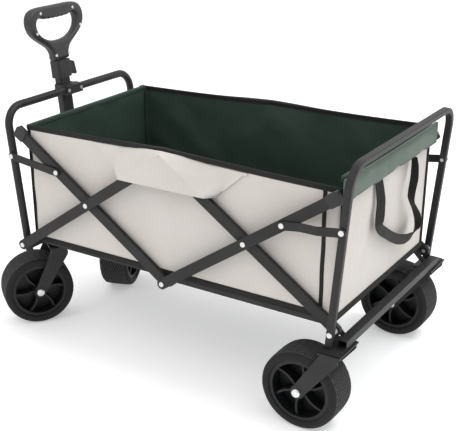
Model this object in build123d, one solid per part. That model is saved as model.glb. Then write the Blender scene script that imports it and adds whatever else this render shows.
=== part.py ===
"""Folding camp wagon. Millimetres, +Z up, handle end towards -X, left side towards -Y.

The frame is drawn about the point on the ground midway between the lower pivots of the two
end frames, and everything is shifted at the end so that the origin is the middle of the footprint.
"""
from build123d import *
import os
from math import acos, asin, atan2, cos, degrees, hypot, radians, sin, sqrt

# ---------------------------------------------------------------- driving dimensions
half_base = 420.0            # ground plan: middle of the wagon to a lower pivot
pivot_z = 230.0              # height of the lower pivots
crossing_z = 374.0           # height of the scissor crossings when the wagon is open
corner_inset = 10.0          # top end of a scissor bar, in from the lower pivot
corner_x = half_base - corner_inset
folded_base = 300.0          # distance between the lower pivots when folded
fabric_half_width = 230.0    # outer face of the side walls
wall = 3.0                   # fabric walls

front_tube_d = 19.0
front_tube_wall = 1.5
front_tube_y = 235.0
front_top_z = 564.0
front_lean = 0.105           # outward travel per unit of height
rear_tube_x = 16.0
rear_tube_y = 12.0
rear_tube_wall = 1.5
rear_frame_y = 262.0
rear_top_z = 582.0
rear_lean = 0.075
top_bend = 45.0              # centre-line radius of the frames' top corners

bar_height = 24.0
bar_thick = 10.0
bar_wall = 1.5
inner_layer = 233.5          # inner face of the inner bars
layer_gap = 1.5              # between the inner and the outer bars
rivet_r = 4.0
pivot_fit = 0.1              # radial clearance of every rivet in the piece that turns on it
head_r = 6.0
head_h = 2.5
link_offset = 109.3          # crossing to the link's pivot, along the bar
front_link_length = 140.0
rear_link_length = 137.0
link_width = 18.0
link_thick = 3.0
touch_gap = 0.5              # between plates that slide over each other

wheel_r = 89.0
wheel_width = 78.0
hub_r = 69.5
axle_r = 6.0
axle_fit = 0.1
wheel_clearance = 2.0        # each side of a wheel in its fork
fork_gap = wheel_width + 2 * wheel_clearance
leg_thick = 3.5
rear_axle_x = half_base - 58.0
rear_wheel_y = rear_frame_y - 17.0
rear_crown_x = half_base + 10.0
rear_crown_z = 196.0
caster_x = -half_base + 9.0
caster_y = 148.0
caster_trail = 55.0
caster_crown_z = 203.0
left_heading = 234.0         # way the left caster trails, degrees from +X
right_heading = 290.0

rail_size = 12.0
rail_pivot_inset = 16.0      # lower pivot to the rail's pivot, along X
rail_z = 236.4
front_rail_y = 212.0
rear_rail_y = 225.0
rail_lap = 8.0               # how far a rail reaches past the middle of the wagon
hub_bar_width = 20.0
hub_bar_height = 12.0
soft_gap = 0.3               # between fabric and what it lies beside

floor_thick = 7.0
basket_front = -half_base + 23.0
basket_rear = half_base - 5.0
basket_bottom = 250.0
front_wall_top = 531.0
rear_wall_top = 550.0
hub_peak_z = 544.0
side_dip = 12.0
roll_height = 55.0
roll_thick = 15.0
roll_half = 240.0
roll_rise = 2.0              # above the rear wall

handle_pivot_x = -half_base - 26.0
handle_pivot_z = 222.0
shaft_w = 38.0
shaft_t = 22.0
shaft_wall = 1.8
shaft_length = 385.0
slide_fit = 0.3
inner_wall = 1.5
inner_start = 12.0
grip_start = 418.0
grip_top = 549.0
grip_thick = 26.0
grip_half_top = 99.0
grip_half_neck = 27.0
collar_start = 370.0
collar_height = 44.0
pin_r = 5.0

# ---------------------------------------------------------------- worked-out dimensions
pitch = hypot(crossing_z - pivot_z, half_base / 2)      # crossing to the pivots at its bars' ends
open_angle = degrees(asin((crossing_z - pivot_z) / pitch))
folded_angle = degrees(acos(folded_base / (4 * pitch)))
fold_range = folded_angle - open_angle
upper_reach = (corner_x - half_base / 2) / cos(radians(open_angle))
corner_z = crossing_z + upper_reach * sin(radians(open_angle))
hub_z = pivot_z
top_hub_z = 2 * crossing_z - pivot_z
outer_layer = inner_layer + bar_thick + layer_gap
outer_face = outer_layer + bar_thick
rear_inner_face = rear_frame_y - rear_tube_y / 2
rear_outer_face = rear_frame_y + rear_tube_y / 2
front_outer_face = front_tube_y + front_tube_d / 2
lean_angle = degrees(asin(front_lean / hypot(1, front_lean)))


def link_pivots(length):
    """End of a link on its bar, and on its upright, as offsets from the lower pivot.

    The upright's pivot is the point that is one link length from the bar's pivot in both the open
    and the folded wagon.
    """
    def on_bar(angle):
        along = radians(angle)
        return (pitch - link_offset) * cos(along), (pitch + link_offset) * sin(along)

    open_x, open_z = on_bar(open_angle)
    shut_x, shut_z = on_bar(folded_angle)
    half = hypot(shut_x - open_x, shut_z - open_z) / 2
    reach = sqrt(length**2 - half**2)
    unit_x, unit_z = (shut_x - open_x) / (2 * half), (shut_z - open_z) / (2 * half)
    post = ((open_x + shut_x) / 2 - unit_z * reach, (open_z + shut_z) / 2 + unit_x * reach)
    return (open_x, open_z), post, (shut_x, shut_z)


# ---------------------------------------------------------------- helpers
def slab(profile, side, inner, outer):
    """A profile drawn in X-Z, as thick as |y| = inner to outer, on one side of the wagon."""
    low = min(side * inner, side * outer)
    plane = Plane(origin=(0, low, 0), x_dir=(1, 0, 0), z_dir=(0, -1, 0))
    return extrude(plane * profile, abs(outer - inner), dir=(0, 1, 0))


def disc(x, z, radius):
    return Pos(x, z) * Circle(radius)


def across(x, z, radius, side, inner, outer):
    """A round pin or hole along Y."""
    return slab(disc(x, z, radius), side, inner, outer)


def both(make):
    return [make(-1), make(1)]


def rivet(x, z, side, inner, face, shoulder=None):
    """A shank from |y| = inner to face, with a domed head outside it."""
    body = across(x, z, rivet_r, side, inner, face)
    body += slab(disc(x, z, head_r), side, face, face + head_h)
    rim = [e for e in body.edges().filter_by(GeomType.CIRCLE)
           if abs(e.radius - head_r) < 0.01 and abs(abs(e.center().Y) - face - head_h) < 0.01]
    body = fillet(rim, head_h * 0.6)
    if shoulder:
        body += across(x, z, rivet_r * 1.8, side, *shoulder)
    return body


def slot(x0, z0, x1, z1, width):
    """An obround in X-Z between two centres."""
    length = hypot(x1 - x0, z1 - z0)
    turn = degrees(atan2(z1 - z0, x1 - x0))
    return Pos((x0 + x1) / 2, (z0 + z1) / 2) * Rot(0, 0, turn) * SlotCenterToCenter(length, width)


def scissor_bar(x0, z0, x1, z1, side, inner, holes):
    """A flat tube with round ends. Its bore stops short of the two end pivots."""
    body = slab(slot(x0, z0, x1, z1, bar_height), side, inner, inner + bar_thick)
    length = hypot(x1 - x0, z1 - z0)
    inset = bar_height * 0.7
    step_x, step_z = (x1 - x0) / length * inset, (z1 - z0) / length * inset
    bore = slot(x0 + step_x, z0 + step_z, x1 - step_x, z1 - step_z, bar_height - 2 * bar_wall)
    body -= slab(bore, side, inner + bar_wall, inner + bar_thick - bar_wall)
    for x, z in holes:
        body -= across(x, z, rivet_r + pivot_fit, side, inner - 1, inner + bar_thick + 1)
    return body


def on_axis(shape, centre, axis):
    """Puts a shape drawn about Z on another axis."""
    return Plane(origin=centre, z_dir=axis) * shape


# ---------------------------------------------------------------- wheels
def tyre():
    shoulder = 9.0
    ring = Pos((hub_r + wheel_r) / 2, 0) * Rectangle(wheel_r - hub_r, wheel_width)
    outer = ring.vertices().filter_by(lambda v: v.X > hub_r + 1)
    return revolve(Plane.XZ * fillet(outer, shoulder), Axis.Z)


def hub():
    rim_depth = 8.0
    web = 6.0
    boss_r = 16.0
    spokes = 6
    rim = extrude(Circle(hub_r - 0.1) - Circle(hub_r - rim_depth), wheel_width / 2 - 4, both=True)
    body = rim + extrude(Circle(hub_r - rim_depth / 2), web / 2, both=True)
    body += extrude(Circle(boss_r), wheel_width / 2, both=True)
    curve = ThreePointArc((boss_r - 4, 0), (hub_r * 0.52, 7), (hub_r - rim_depth / 2, 2))
    rib = extrude(SlotArc(curve, 5), wheel_width / 2 - 10, both=True)
    for n in range(spokes):
        body += Rot(0, 0, n * 360 / spokes) * rib
    return body - Cylinder(axle_r + axle_fit, wheel_width + 2)


def axle():
    """A through axle with a domed cap nut at each end."""
    half = fork_gap / 2 + leg_thick
    cap_r = 10.0
    cap_h = 6.0
    cap = fillet(Cylinder(cap_r, cap_h).edges().group_by(Axis.Z)[-1], cap_h * 0.8)
    body = Cylinder(axle_r, 2 * half + 2)
    for flip in (0, 180):
        body += Rot(flip, 0, 0) * Pos(0, 0, half + cap_h / 2 + 0.05) * cap
    return body


def caster_fork():
    """Crown, two legs and kingpin, drawn with the swivel on Z and the wheel trailing to +X."""
    half = fork_gap / 2 + leg_thick
    crown_half = 22.0
    end_r = 14.0
    kingpin_up = 12.0
    bearing_r = 17.0
    bearing_h = 4.6
    crown = Pos(0, 0, caster_crown_z - leg_thick / 2) * Box(2 * crown_half, 2 * half, leg_thick)
    outline = make_hull((disc(-8, caster_crown_z - 14, 14).edges() + disc(10, caster_crown_z - 12, 12).edges()
                         + disc(caster_trail, wheel_r, end_r).edges()))
    keep = Pos(20, caster_crown_z / 2) * Rectangle(200, caster_crown_z)
    body = crown
    for side in (-1, 1):
        leg = slab(outline & keep, side, fork_gap / 2, half)
        body += leg - across(caster_trail, wheel_r, axle_r + axle_fit, side, 0, 2 * half)
    body += Pos(0, 0, caster_crown_z + bearing_h / 2) * Cylinder(bearing_r, bearing_h)
    body += Pos(0, 0, caster_crown_z + kingpin_up / 2) * Cylinder(pin_r, kingpin_up)
    return body


def rear_fork(side):
    half = fork_gap / 2 + leg_thick
    crown_half = 25.0
    end_r = 14.0
    top = rear_crown_z
    crown = Pos(rear_crown_x, side * rear_wheel_y, top - leg_thick / 2) * Box(
        2 * crown_half, 2 * half, leg_thick)
    upper = disc(rear_crown_x - 8, top - 16, 16).edges() + disc(rear_crown_x + 9, top - 12, 12).edges()
    outline = make_hull(upper + disc(rear_axle_x, wheel_r, end_r).edges())
    body = crown
    for inner in (rear_wheel_y - half, rear_wheel_y + fork_gap / 2):
        leg = slab(outline, side, inner, inner + leg_thick)
        hole = across(rear_axle_x, wheel_r, axle_r + axle_fit, side, inner - 1, inner + leg_thick + 1)
        body += leg - hole
    return body


# ---------------------------------------------------------------- end frames
def front_axis_x(z):
    return -half_base - front_lean * (z - pivot_z)


def rear_axis_x(z):
    return half_base + rear_lean * (z - pivot_z)


def front_path(foot_z, reach_y):
    """Centre line of the front frame, from foot to foot."""
    low, high = (front_axis_x(foot_z), foot_z), (front_axis_x(front_top_z), front_top_z)
    corners = [(low[0], -reach_y, low[1]), (high[0], -reach_y, high[1]),
               (high[0], reach_y, high[1]), (low[0], reach_y, low[1])]
    return FilletPolyline(*corners, radius=top_bend)


def rear_path(foot_z):
    low, high = (rear_axis_x(foot_z), foot_z), (rear_axis_x(rear_top_z), rear_top_z)
    corners = [(low[0], -rear_frame_y, low[1]), (high[0], -rear_frame_y, high[1]),
               (high[0], rear_frame_y, high[1]), (low[0], rear_frame_y, low[1])]
    return FilletPolyline(*corners, radius=top_bend)


def swept(path, outer, inner):
    start = Plane(origin=path @ 0, z_dir=path % 0, x_dir=(0, 1, 0))
    return sweep(start * outer, path=path) - sweep(start * inner, path=path)


front_foot_z = 211.0
cross_z = 221.0
cross_x = -half_base
rear_foot_z = 201.0
front_bar_pivot, front_post_pivot, front_bar_shut = link_pivots(front_link_length)
rear_bar_pivot, rear_post_pivot, rear_bar_shut = link_pivots(rear_link_length)
front_link_face = front_outer_face + touch_gap
rear_link_face = rear_outer_face + touch_gap


def front_frame_tube():
    outer = Circle(front_tube_d / 2)
    inner = Circle(front_tube_d / 2 - front_tube_wall)
    body = swept(front_path(front_foot_z, front_tube_y), outer, inner)
    for side in (-1, 1):
        for x, z in ((-half_base, pivot_z), (front_post_pivot[0] - half_base, front_post_pivot[1] + pivot_z)):
            body -= across(x, z, rivet_r + pivot_fit, side, front_tube_y - 6, front_tube_y + 12)
    return body


def front_cross_tube():
    """Lower cross tube with its two caster plates and the lugs of the front floor rails."""
    plate = 3.6
    plate_half = 26.0
    lug = 3.0
    length = 2 * (front_tube_y - 1)
    body = Pos(cross_x, 0, cross_z) * Rot(90, 0, 0) * Cylinder(front_tube_d / 2, length)
    lug_top = rail_z + 5
    for side in (-1, 1):
        body += Pos(caster_x, side * caster_y, cross_z - front_tube_d / 2 - plate / 2 + 0.1) * Box(
            2 * plate_half, 2 * plate_half, plate)
        inner = front_rail_y - rail_size / 2 - soft_gap - lug
        lug_x = -half_base + rail_pivot_inset
        outline = Polygon((cross_x, cross_z - 4), (lug_x + 6, rail_z - 4), (lug_x + 6, lug_top),
                          (cross_x, cross_z + 8), align=None)
        body += slab(outline, side, inner, inner + lug)
    body -= Pos(cross_x, 0, cross_z) * Rot(90, 0, 0) * Cylinder(front_tube_d / 2 - front_tube_wall, length + 2)
    for side in (-1, 1):
        body -= Pos(caster_x, side * caster_y, cross_z - front_tube_d / 2) * Cylinder(pin_r + pivot_fit, 24)
        lug_x = -half_base + rail_pivot_inset
        body -= across(lug_x, rail_z, 3.1, side, front_rail_y - 14, front_rail_y)
        post = Pos(front_axis_x(cross_z), side * front_tube_y, cross_z) * Rot(0, -lean_angle, 0)
        body -= post * Cylinder(front_tube_d / 2, 60)
    return body


def rear_frame_tube():
    """Flat-sided tube bent to an inverted U, with the link and bar rivets through its uprights."""
    outer = RectangleRounded(rear_tube_y, rear_tube_x, 2)
    inner = RectangleRounded(rear_tube_y - 2 * rear_tube_wall, rear_tube_x - 2 * rear_tube_wall, 1)
    body = swept(rear_path(rear_foot_z), outer, inner)
    for side in (-1, 1):
        for x, z in ((half_base, pivot_z), (half_base - rear_post_pivot[0], rear_post_pivot[1] + pivot_z)):
            body -= across(x, z, rivet_r + pivot_fit, side, rear_inner_face - 1, rear_outer_face + 1)
    return body


def rear_cross_tube():
    """Lower cross tube, welded on the plates that carry the forks, with the rear rails' lugs."""
    plate = 4.0
    lug = 3.0
    tube_x = rear_crown_x + 11
    tube_w = 20.0
    tube_h = 16.0
    base = rear_crown_z + plate
    body = Pos(tube_x, 0, base + tube_h / 2) * Box(tube_w, 2 * (rear_frame_y - 12), tube_h)
    body -= Pos(tube_x, 0, base + tube_h / 2) * Box(tube_w - 3, 2 * rear_frame_y, tube_h - 3)
    for side in (-1, 1):
        body += Pos(rear_crown_x - 2, side * rear_wheel_y, rear_crown_z + plate / 2) * Box(
            44, fork_gap - 4, plate)
        inner = rear_rail_y - rail_size / 2 - soft_gap - lug
        lug_x = half_base - rail_pivot_inset
        outline = Polygon((tube_x - tube_w / 2, base), (tube_x - tube_w / 2, base + tube_h),
                          (lug_x - 2, rail_z + 5), (lug_x - 6, rail_z + 2), (lug_x - 6, rail_z - 5),
                          align=None)
        body += slab(outline, side, inner, inner + lug)
        body -= across(lug_x, rail_z, 3.1, side, inner - 2, rear_rail_y)
    return body


# ---------------------------------------------------------------- folding gear
def front_link(side):
    bar_x, bar_z = front_bar_pivot[0] - half_base, front_bar_pivot[1] + pivot_z
    post_x, post_z = front_post_pivot[0] - half_base, front_post_pivot[1] + pivot_z
    body = slab(slot(post_x, post_z, bar_x, bar_z, link_width), side, front_link_face,
                front_link_face + link_thick)
    for x, z in ((bar_x, bar_z), (post_x, post_z)):
        body -= across(x, z, rivet_r + pivot_fit, side, front_link_face - 1, front_link_face + link_thick + 1)
    return body


def rear_link(side):
    """A link joggled from the outer bar's face to the outside of the rear upright."""
    bar_x, bar_z = half_base - rear_bar_pivot[0], rear_bar_pivot[1] + pivot_z
    post_x, post_z = half_base - rear_post_pivot[0], rear_post_pivot[1] + pivot_z
    length = hypot(post_x - bar_x, post_z - bar_z)
    turn = degrees(asin((post_z - bar_z) / length))
    low = outer_face + touch_gap
    high = rear_link_face
    ramp_start, ramp_end = 0.28 * length, 0.62 * length
    over = link_width / 2
    profile = Polygon((-over, low), (ramp_start, low), (ramp_end, high), (length + over, high),
                      (length + over, high + link_thick), (ramp_end, high + link_thick),
                      (ramp_start, low + link_thick), (-over, low + link_thick), align=None)
    strip = extrude(profile, link_width, both=True)
    outline = Pos(length / 2, 0) * SlotCenterToCenter(length, link_width)
    cut = Plane(origin=(0, 0, 0), x_dir=(1, 0, 0), z_dir=(0, -1, 0)) * outline
    body = strip & extrude(cut, 400, both=True)
    for s in (0, length):
        body -= Pos(s, 0, 0) * Rot(90, 0, 0) * Cylinder(rivet_r + pivot_fit, 800)
    if side < 0:
        body = mirror(body, Plane.XZ)
    return Pos(bar_x, 0, bar_z) * Rot(0, -turn, 0) * body


def front_rail(side):
    start = -half_base + rail_pivot_inset
    return rail(side, start, rail_lap, front_rail_y, start)


def rear_rail(side):
    start = half_base - rail_pivot_inset
    return rail(side, -rail_lap, start, rear_rail_y, start)


def rail(side, low_x, high_x, centre_y, pivot_x):
    margin = 6.0
    inner, outer = centre_y - rail_size / 2, centre_y + rail_size / 2
    if pivot_x == low_x:
        low_x -= margin
    else:
        high_x += margin
    body = Pos((low_x + high_x) / 2, side * centre_y, rail_z) * Box(high_x - low_x, rail_size, rail_size)
    body -= Pos((low_x + high_x) / 2, side * centre_y, rail_z) * Box(
        high_x - low_x + 2, rail_size - 2.4, rail_size - 2.4)
    return body - across(pivot_x, rail_z, 3.1, side, inner - 1, outer + 1)


def rail_pin(x, centre_y, side):
    inner = centre_y - rail_size / 2 - soft_gap - 3.0
    body = across(x, rail_z, 3.0, side, inner, centre_y + rail_size / 2)
    if centre_y < rear_rail_y:
        body += across(x, rail_z, 5.0, side, centre_y + rail_size / 2, centre_y + rail_size / 2 + 1.6)
    return body


def corner_cap(x, z, turn, side, inner):
    """Plastic boot on the top end of a scissor bar."""
    skin = 2.0
    length = 30.0
    outer_profile = Pos(length / 2 - bar_height / 2 - 2, 0) * RectangleRounded(length, bar_height + 2 * skin, 5)
    outline = Pos(x, z) * Rot(0, 0, turn) * outer_profile
    body = slab(outline, side, inner - skin, inner + bar_thick + skin)
    room = Pos(x, z) * Rot(0, 0, turn) * Pos(40, 0) * SlotCenterToCenter(80, bar_height + 0.1)
    return body - slab(room, side, inner, inner + bar_thick)


# ---------------------------------------------------------------- basket
def side_profile():
    top = [(basket_front, front_wall_top), (basket_front / 2, front_wall_top - side_dip),
           (0, hub_peak_z), (basket_rear / 2, rear_wall_top - side_dip), (basket_rear, rear_wall_top)]
    return Polygon((basket_front, basket_bottom), *top, (basket_rear, basket_bottom), align=None)


def end_wall(x0, x1, top):
    half = fabric_half_width - wall - soft_gap
    return Pos((x0 + x1) / 2, 0, (basket_bottom + top) / 2) * Box(abs(x1 - x0), 2 * half, top - basket_bottom)


def floor_panel(x0, x1):
    half = fabric_half_width - wall - soft_gap
    low = rail_z + rail_size / 2 + soft_gap
    return Pos((x0 + x1) / 2, 0, low + floor_thick / 2) * Box(abs(x1 - x0), 2 * half, floor_thick)


def rear_roll():
    """The lining turned out over the rear edge, as a flattened soft band."""
    profile = RectangleRounded(roll_thick, roll_height, roll_thick / 2 - 0.5)
    centre = (basket_rear + soft_gap + roll_thick / 2, 0, rear_wall_top + roll_rise - roll_height / 2)
    return Pos(*centre) * Rot(90, 0, 0) * extrude(profile, roll_half, both=True)


def rear_loop():
    """Carrying loop of webbing, hanging flat against the rear wall from under the roll."""
    strap_t = 2.0
    width = 25.0
    top = rear_wall_top + roll_rise - roll_height - soft_gap - width / 2
    turns = [(-64, 0), (-74, 76), (-8, 132), (78, 158), (104, 112), (66, 60), (108, 0)]   # y, drop
    outline = Sketch()
    for (y0, drop0), (y1, drop1) in zip(turns, turns[1:]):
        outline += slot(y0, top - drop0, y1, top - drop1, width)
    plane = Plane(origin=(basket_rear + soft_gap, 0, 0), x_dir=(0, 1, 0), z_dir=(1, 0, 0))
    return extrude(plane * outline, strap_t, dir=(1, 0, 0))


# ---------------------------------------------------------------- handle
def on_shaft(shape):
    """From the handle's own frame, pivot at the origin and shaft along Z, to its stowed place."""
    return Pos(handle_pivot_x, 0, handle_pivot_z) * Rot(0, -lean_angle, 0) * shape


def lower_shaft():
    body = Pos(0, 0, shaft_length / 2) * extrude(RectangleRounded(shaft_t, shaft_w, 5), shaft_length / 2, both=True)
    body += Rot(90, 0, 0) * Cylinder(shaft_t / 2, shaft_w)
    hollow = RectangleRounded(shaft_t - 2 * shaft_wall, shaft_w - 2 * shaft_wall, 3.2)
    start = inner_start - 2
    body -= Pos(0, 0, start) * extrude(hollow, shaft_length)
    return body - Rot(90, 0, 0) * Cylinder(pin_r + pivot_fit, shaft_w + 2)


def inner_profile(inset):
    thick = shaft_t - 2 * shaft_wall - 2 * slide_fit - 2 * inset
    width = shaft_w - 2 * shaft_wall - 2 * slide_fit - 2 * inset
    return RectangleRounded(thick, width, max(3.0 - inset, 1.0))


def inner_shaft():
    length = grip_start + 34 - inner_start
    body = extrude(inner_profile(0), length) - extrude(inner_profile(inner_wall), length)
    return Pos(0, 0, inner_start) * body


def collar():
    outer = extrude(RectangleRounded(shaft_t + 10, shaft_w + 10, 7), collar_height)
    body = Pos(0, 0, collar_start) * outer
    pocket = RectangleRounded(shaft_t + 0.2, shaft_w + 0.2, 5)
    body -= extrude(pocket, shaft_length + 0.1)
    mouth = RectangleRounded(shaft_t - 2 * shaft_wall, shaft_w - 2 * shaft_wall, 3.2)
    body -= Pos(0, 0, shaft_length - 1) * extrude(mouth, 60)
    for x in (-1, 1):
        ear = Polygon((20, collar_start + 10), (38, collar_start + 16), (38, collar_start + 34),
                      (20, collar_start + 40), align=None)
        body += Pos(x * 11.5, 0, 0) * extrude(Plane.YZ * ear, 2.5, both=True) - extrude(pocket, shaft_length)
    lever_y, lever_s = lever_pivot()
    return body - Pos(0, lever_y, lever_s) * Rot(0, 90, 0) * Cylinder(3.1, 60)


def lever_pivot():
    return shaft_w / 2 + 13.5, collar_start + 26.0


def clamp_lever():
    """Cam lever with its trunnions, closed flat down the collar's side."""
    lever_y, lever_s = lever_pivot()
    half = 8.6
    cam = disc(lever_y, lever_s, 7.5)
    tab = Polygon((lever_y, lever_s + 7.5), (lever_y + 12, lever_s + 2), (lever_y + 16, lever_s - 24),
                  (lever_y + 10, lever_s - 26), (lever_y + 4, lever_s - 8), align=None)
    body = extrude(Plane.YZ * (cam + tab), half, both=True)
    return body + Pos(0, lever_y, lever_s) * Rot(0, 90, 0) * Cylinder(3.0, 26)


def grip_outline():
    """D-shaped grip, drawn in Y and the shaft's direction."""
    shoulder = grip_top - 58
    outer = Polygon((-grip_half_neck, grip_start), (grip_half_neck, grip_start),
                    (grip_half_neck + 5, grip_start + 24), (grip_half_top - 3, shoulder),
                    (grip_half_top, grip_top - 22), (grip_half_top - 22, grip_top), (-grip_half_top + 22, grip_top),
                    (-grip_half_top, grip_top - 22), (-grip_half_top + 3, shoulder),
                    (-grip_half_neck - 5, grip_start + 24), align=None)
    outer = fillet(outer.vertices().filter_by(lambda v: v.Y > grip_start + 40), 16)
    hole_low, hole_high = grip_start + 45, grip_top - 27
    hole = Polygon((-30, hole_low), (30, hole_low), (grip_half_top - 27, shoulder + 4),
                   (grip_half_top - 26, hole_high), (-grip_half_top + 26, hole_high),
                   (-grip_half_top + 27, shoulder + 4), align=None)
    return outer, fillet(hole.vertices(), 9)


def grip_shell(way):
    """One of the two shells of the grip, way -1 in front and +1 behind."""
    skin = 3.0
    outer, hole = grip_outline()
    half = grip_thick / 2
    body = extrude(Plane.YZ * (outer - hole), half, dir=(way, 0, 0))
    far = [e for e in body.edges() if all(abs(v.X - way * half) < 0.01 for v in e.vertices())]
    body = fillet(far, 5)
    pocket = offset(outer, -skin) - offset(hole, skin)
    body -= extrude(Plane.YZ * pocket, half - skin, dir=(way, 0, 0))
    tube = extrude(inner_profile(-0.15), grip_start + 40)
    body -= tube
    for y, s in screw_places():
        boss = Pos(0, y, s) * Rot(0, 90, 0) * Cylinder(4.5, grip_thick)
        slice_box = Pos(way * (half - 1) / 2, y, s) * Box(half - 1, 20, 20)
        hole_d = Pos(0, y, s) * Rot(0, 90, 0) * Cylinder(2.1, grip_thick + 4)
        body += (boss & slice_box) - tube
        body -= hole_d
    return body


def screw_places():
    rows = ((59, grip_top - 13), (80, grip_top - 59), (23, grip_start + 10))
    return [(side * y, s) for y, s in rows for side in (-1, 1)]


def grip_screw(y, s):
    half = grip_thick / 2
    length = 18.0
    body = Pos(half - length / 2, y, s) * Rot(0, 90, 0) * Cylinder(2.0, length)
    return body + Pos(half + 0.7, y, s) * Rot(0, 90, 0) * Cylinder(3.6, 1.4)


def handle_bracket():
    """Two ears and a strap under the handle's foot, coped to the cross tube."""
    ear = 4.0
    inner = shaft_w / 2 + 0.4
    front_edge = handle_pivot_x - 12
    outline = Polygon((front_edge, handle_pivot_z - 9), (front_edge, handle_pivot_z + 6),
                      (handle_pivot_x - 4, handle_pivot_z + 12), (cross_x, handle_pivot_z + 12),
                      (cross_x, handle_pivot_z - 16.5), (handle_pivot_x, handle_pivot_z - 16.5), align=None)
    body = slab(outline, -1, inner, inner + ear) + slab(outline, 1, inner, inner + ear)
    strap_x0, strap_x1 = handle_pivot_x + 2, cross_x
    body += Pos((strap_x0 + strap_x1) / 2, 0, handle_pivot_z - 15.2) * Box(
        strap_x1 - strap_x0, 2 * (inner + ear), 2.6)
    body -= Pos(cross_x, 0, cross_z) * Rot(90, 0, 0) * Cylinder(front_tube_d / 2, 200)
    return body - Pos(handle_pivot_x, 0, handle_pivot_z) * Rot(90, 0, 0) * Cylinder(pin_r + pivot_fit, 80)


def handle_pin():
    inner = shaft_w / 2 + 0.4
    half = inner + 4.0
    body = Rot(90, 0, 0) * Cylinder(pin_r, 2 * half)
    for way in (-1, 1):
        body += Pos(0, way * (half + 1.25), 0) * Rot(90, 0, 0) * Cylinder(8, 2.5)
    return Pos(handle_pivot_x, 0, handle_pivot_z) * body


def handle_saddle():
    """Clip on the front frame's top bar that holds the stowed handle."""
    bar_x = front_axis_x(front_top_z)
    half = 30.0
    height = 22.0
    block = Pos((bar_x - 13 + bar_x + 12) / 2, 0, front_top_z) * Box(25, 2 * half, height)
    arm = Pos(bar_x - 24, 0, front_top_z) * Box(22, 5, height)
    body = block
    for side in (-1, 1):
        body += Pos(0, side * (shaft_w / 2 + 3.2), 0) * arm
    body = body - Pos(bar_x, 0, front_top_z) * Rot(90, 0, 0) * Cylinder(front_tube_d / 2 + 0.1, 100)
    for side in (-1, 1):
        body -= Pos(bar_x + 10, side * 23, front_top_z) * Rot(0, 90, 0) * Cylinder(2.1, 6)
    return body


def saddle_rivet(side):
    bar_x = front_axis_x(front_top_z)
    body = Pos(bar_x + 11, side * 23, front_top_z) * Rot(0, 90, 0) * Cylinder(2.0, 2)
    return body + Pos(bar_x + 12.9, side * 23, front_top_z) * Rot(0, 90, 0) * Cylinder(4.5, 1.8)


# ---------------------------------------------------------------- placing
def heading(angle):
    return cos(radians(angle)), sin(radians(angle))


def caster_place(side, angle):
    return Pos(caster_x, side * caster_y, 0) * Rot(0, 0, angle)


def caster_axle(side, angle):
    """Centre and axle direction of a front wheel."""
    ux, uy = heading(angle)
    centre = (caster_x + caster_trail * ux, side * caster_y + caster_trail * uy, wheel_r)
    return centre, (-uy, ux, 0)


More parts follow.
